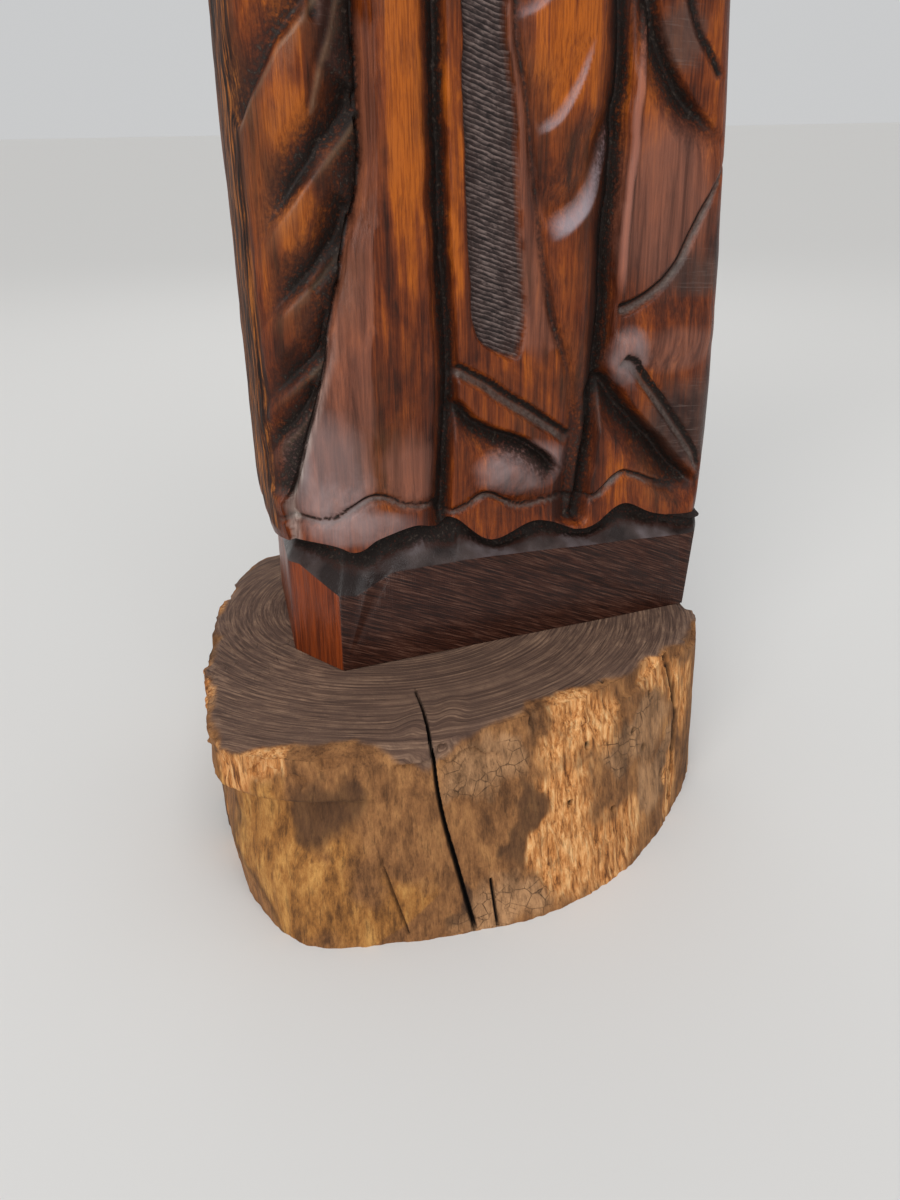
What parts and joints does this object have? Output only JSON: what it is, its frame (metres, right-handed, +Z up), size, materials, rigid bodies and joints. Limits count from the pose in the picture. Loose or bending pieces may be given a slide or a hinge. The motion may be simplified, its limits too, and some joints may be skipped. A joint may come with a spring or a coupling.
{
  "type": "carved wooden saint statue on a tree trunk base",
  "caption": "Standing robed saint carved from one squared log with its block, hands joined in prayer, resting on a rough slice of tree trunk.",
  "frame": {"origin": "on the floor, under the middle of the trunk slice's box", "axes": "+Z up along the figure, the figure faces -Y, +X to the viewer's right"},
  "size_m": [0.3509, 0.3397, 1.06],
  "materials": {
    "carved_wood": "reddish-brown carved wood under a worn satin varnish, near black in the hollows",
    "trunk_wood": "raw weathered tree trunk: dark sawn top, tan cracked and flaking sides"
  },
  "bodies": {
    "root": {"saint_figure": "carved_wood", "trunk_base": "trunk_wood"}
  },
  "joints": []
}
